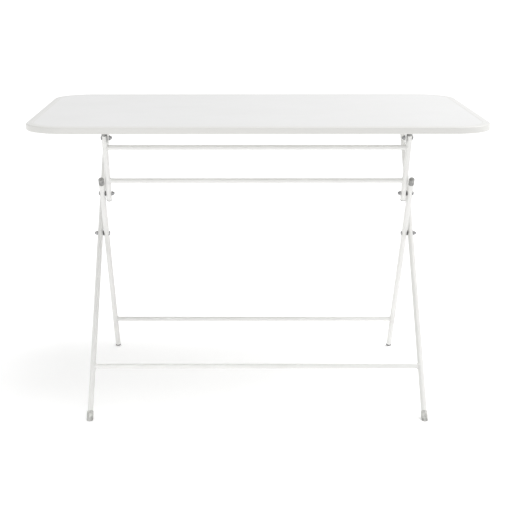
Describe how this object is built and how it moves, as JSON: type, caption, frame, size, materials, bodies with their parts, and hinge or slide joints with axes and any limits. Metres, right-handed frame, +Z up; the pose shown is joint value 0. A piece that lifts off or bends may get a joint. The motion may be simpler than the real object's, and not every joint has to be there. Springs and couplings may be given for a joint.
{
  "type": "folding table",
  "caption": "Rectangular folding table with a rounded steel top on crossed tube legs and a folding strut frame.",
  "frame": {"origin": "on the floor, under the middle of the table top", "axes": "+X along the top to the right, +Y to the rear, +Z up"},
  "size_m": [1.1, 0.7, 0.72],
  "materials": {
    "white_enamel": "satin white powder coat on steel",
    "grey_plastic": "moulded mid-grey plastic",
    "zinc_steel": "bright zinc plate",
    "black_nylon": "black moulded nylon"
  },
  "bodies": {
    "long_leg_frame": {"long_leg_left": "white_enamel", "long_leg_right": "white_enamel", "long_leg_bar": "white_enamel", "long_leg_top_plug_left": "grey_plastic", "long_leg_top_plug_right": "grey_plastic", "long_leg_foot_left": "grey_plastic", "long_leg_foot_right": "grey_plastic", "leg_pivot_bolts": "zinc_steel", "leg_pivot_nuts": "zinc_steel", "leg_pivot_washers": "black_nylon"},
    "tabletop": {"top_panel": "white_enamel", "front_stiffener": "white_enamel", "rear_stiffener": "white_enamel", "front_hinge_bracket_left": "white_enamel", "front_hinge_bracket_right": "white_enamel", "rear_hinge_bracket_left": "white_enamel", "rear_hinge_bracket_right": "white_enamel", "front_hinge_bolts": "zinc_steel", "front_hinge_nuts": "zinc_steel", "front_hinge_washers": "black_nylon", "rear_hinge_bolts": "zinc_steel", "rear_hinge_nuts": "zinc_steel", "rear_hinge_washers": "black_nylon"},
    "strut_frame": {"strut_left": "white_enamel", "strut_right": "white_enamel", "strut_upper_rung": "white_enamel", "strut_lower_rung": "white_enamel", "strut_top_cap_left": "grey_plastic", "strut_top_cap_right": "grey_plastic", "strut_bottom_plug_left": "grey_plastic", "strut_bottom_plug_right": "grey_plastic", "strut_pivot_nuts": "zinc_steel"},
    "short_leg_frame": {"short_leg_left": "white_enamel", "short_leg_right": "white_enamel", "short_leg_bar": "white_enamel", "short_leg_top_cap_left": "grey_plastic", "short_leg_top_cap_right": "grey_plastic", "short_leg_foot_left": "grey_plastic", "short_leg_foot_right": "grey_plastic", "strut_pivot_bolts": "zinc_steel", "strut_pivot_washers": "black_nylon"}
  },
  "joints": [
    {"name": "top_fold", "type": "hinge", "parent": "long_leg_frame", "child": "tabletop", "pos_m": [0, 0.28346, 0.69], "axis": [1, 0, 0], "range_deg": [0, 39.54]},
    {"name": "leg_fold", "type": "hinge", "parent": "long_leg_frame", "child": "short_leg_frame", "pos_m": [0, 0.015, 0.39], "axis": [1, 0, 0], "range_deg": [-72.26, 0]},
    {"name": "strut_fold", "type": "hinge", "parent": "tabletop", "child": "strut_frame", "pos_m": [0, -0.1417, 0.665], "axis": [1, 0, 0], "range_deg": [0, 62.2]}
  ],
  "couplings": [
    {"joint": "leg_fold", "follows": "top_fold", "ratio": -1.8274},
    {"joint": "strut_fold", "follows": "top_fold", "ratio": 1.5729}
  ]
}
